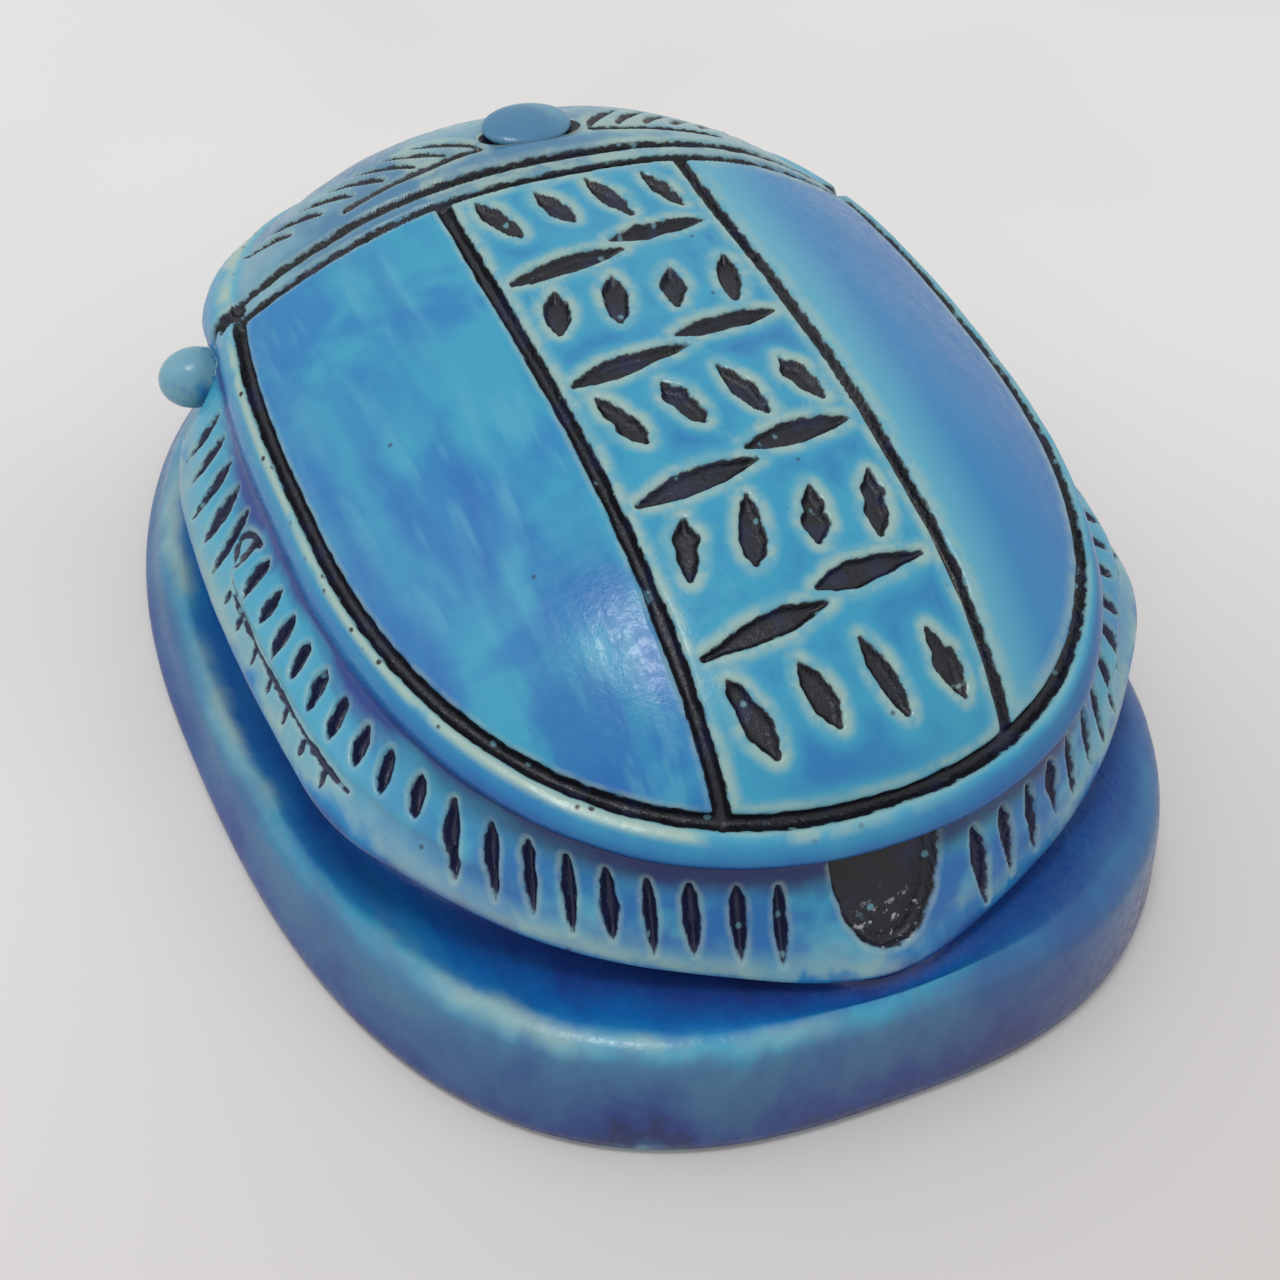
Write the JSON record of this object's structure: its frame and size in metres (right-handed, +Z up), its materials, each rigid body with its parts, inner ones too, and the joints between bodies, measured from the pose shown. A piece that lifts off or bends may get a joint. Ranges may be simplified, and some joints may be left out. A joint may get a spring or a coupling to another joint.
{
  "type": "scarab amulet",
  "caption": "Glazed scarab beetle carved in one piece with an oval plinth, hatched legs, grooved wing cases and a panel of strokes.",
  "frame": {"origin": "middle of the flat underside", "axes": "+Z up from the surface it rests on, +Y along the beetle to its head, +X to its right side"},
  "size_m": [0.0648, 0.0838, 0.0303],
  "materials": {
    "blue_glaze": "glazed stone: turquoise to cobalt, glossy, with near-black in the carved lines"
  },
  "bodies": {
    "root": {"scarab": "blue_glaze"}
  },
  "joints": []
}
